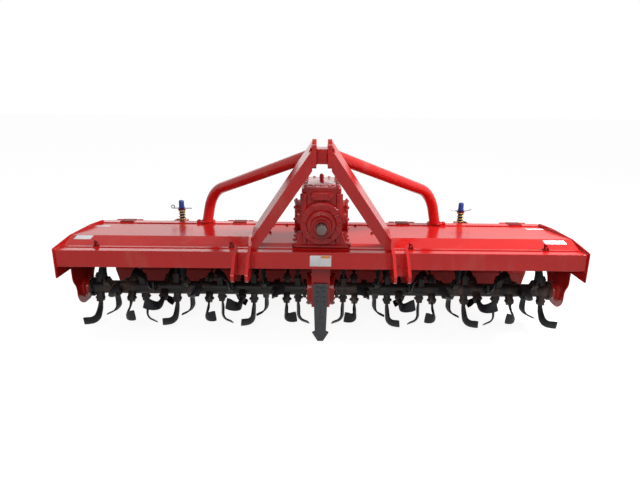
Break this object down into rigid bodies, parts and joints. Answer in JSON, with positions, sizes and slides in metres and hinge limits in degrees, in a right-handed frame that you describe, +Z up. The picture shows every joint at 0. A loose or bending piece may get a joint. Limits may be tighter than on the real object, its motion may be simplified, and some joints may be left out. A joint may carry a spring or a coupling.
{
  "type": "rotary tiller",
  "caption": "Tractor-mounted rotary tiller with a three-point hitch, centre gear drive, bladed rotor under a full-width deck and a sprung trailing board.",
  "frame": {"origin": "on the ground under the middle of the machine's box", "axes": "+X to the machine's left as its driver sees it, -Y towards the tractor, +Z up"},
  "size_m": [2.8, 0.98, 1.16],
  "materials": {
    "red_paint": "glossy red paint on welded sheet and tube",
    "board_paint": "glossy red paint, a shade darker",
    "casting_paint": "red paint on a cast surface",
    "hinge_paint": "dark red paint",
    "rod_guide_paint": "dark red paint",
    "rotor_steel": "black paint on tube and sockets",
    "blade_steel": "dark paint on forged blades",
    "tine_steel": "dark grey steel",
    "pto_steel": "machined steel, dulled",
    "blue_paint": "dark blue paint on the rods",
    "blue_cap": "blue plastic cap",
    "yellow_zinc": "yellow zinc on spring wire",
    "bright_zinc": "bright zinc"
  },
  "bodies": {
    "frame": {"front_beam": "red_paint", "left_end_plate": "red_paint", "right_end_plate": "red_paint", "left_rotor_bearing": "casting_paint", "right_rotor_bearing": "casting_paint", "left_side_deck": "red_paint", "right_side_deck": "red_paint", "centre_deck": "red_paint", "rear_rail": "red_paint", "left_inner_hitch_ear": "red_paint", "right_inner_hitch_ear": "red_paint", "left_outer_hitch_ear": "red_paint", "right_outer_hitch_ear": "red_paint", "left_hitch_back_plate": "red_paint", "right_hitch_back_plate": "red_paint", "left_mast_leg": "red_paint", "right_mast_leg": "red_paint", "left_top_link_ear": "red_paint", "right_top_link_ear": "red_paint", "mast_spacer": "red_paint", "left_rear_brace": "red_paint", "right_rear_brace": "red_paint", "left_brace_pad": "red_paint", "right_brace_pad": "red_paint", "gearbox_housing": "casting_paint", "gearbox_lid": "casting_paint", "breather_plug": "casting_paint", "left_gearbox_cover": "casting_paint", "right_gearbox_cover": "casting_paint", "input_flange": "casting_paint", "gear_leg": "casting_paint", "centre_tine": "tine_steel", "hinge_straps": "hinge_paint", "hinge_pins": "bright_zinc", "left_spring_bracket": "red_paint", "right_spring_bracket": "red_paint"},
    "rotor": {"left_rotor_shaft": "rotor_steel", "left_blade_sockets": "rotor_steel", "left_blades": "blade_steel", "right_rotor_shaft": "rotor_steel", "right_blade_sockets": "rotor_steel", "right_blades": "blade_steel"},
    "input_shaft": {"pto_shaft": "pto_steel"},
    "board": {"trailing_board": "board_paint", "board_stiffener": "board_paint", "left_eye_lug": "red_paint", "right_eye_lug": "red_paint"},
    "right_guide": {"right_rod_guide": "rod_guide_paint", "right_carrying_spring": "yellow_zinc", "right_pressure_spring": "yellow_zinc"},
    "right_rod": {"right_spring_rod": "blue_paint", "right_rod_cap": "blue_cap", "right_rod_clip": "bright_zinc"},
    "left_guide": {"left_rod_guide": "rod_guide_paint", "left_carrying_spring": "yellow_zinc", "left_pressure_spring": "yellow_zinc"},
    "left_rod": {"left_spring_rod": "blue_paint", "left_rod_cap": "blue_cap", "left_rod_clip": "bright_zinc"}
  },
  "joints": [
    {"name": "rotor_spin", "type": "hinge", "parent": "frame", "child": "rotor", "pos_m": [0, -0.013, 0.248], "axis": [1, 0, 0], "continuous": true},
    {"name": "input_spin", "type": "hinge", "parent": "frame", "child": "input_shaft", "pos_m": [0, -0.414, 0.712], "axis": [0, 1, 0], "continuous": true},
    {"name": "board_hinge", "type": "hinge", "parent": "frame", "child": "board", "pos_m": [0, 0.365, 0.556], "axis": [1, 0, 0], "range_deg": [0, 30], "stiffness_Nm_per_rad": 320, "springref_deg": -54.43},
    {"name": "left_rod_rock", "type": "hinge", "parent": "frame", "child": "left_guide", "pos_m": [0.92, 0.437, 0.535], "axis": [1, 0, 0], "range_deg": [0, 36.05]},
    {"name": "left_rod_slide", "type": "slide", "parent": "left_guide", "child": "left_rod", "axis": [0, 0, 1], "range_m": [0, 0.03323], "deforming": ["left_pressure_spring"]},
    {"name": "right_rod_rock", "type": "hinge", "parent": "frame", "child": "right_guide", "pos_m": [-0.92, 0.437, 0.535], "axis": [1, 0, 0], "range_deg": [0, 36.05]},
    {"name": "right_rod_slide", "type": "slide", "parent": "right_guide", "child": "right_rod", "axis": [0, 0, 1], "range_m": [0, 0.03323], "deforming": ["right_pressure_spring"]}
  ],
  "couplings": [
    {"joint": "input_spin", "follows": "rotor_spin", "ratio": -2.45},
    {"joint": "left_rod_rock", "follows": "board_hinge", "ratio": 1.2},
    {"joint": "left_rod_slide", "follows": "board_hinge", "m_per_rad": 0.06327},
    {"joint": "right_rod_rock", "follows": "board_hinge", "ratio": 1.2},
    {"joint": "right_rod_slide", "follows": "board_hinge", "m_per_rad": 0.06327}
  ]
}
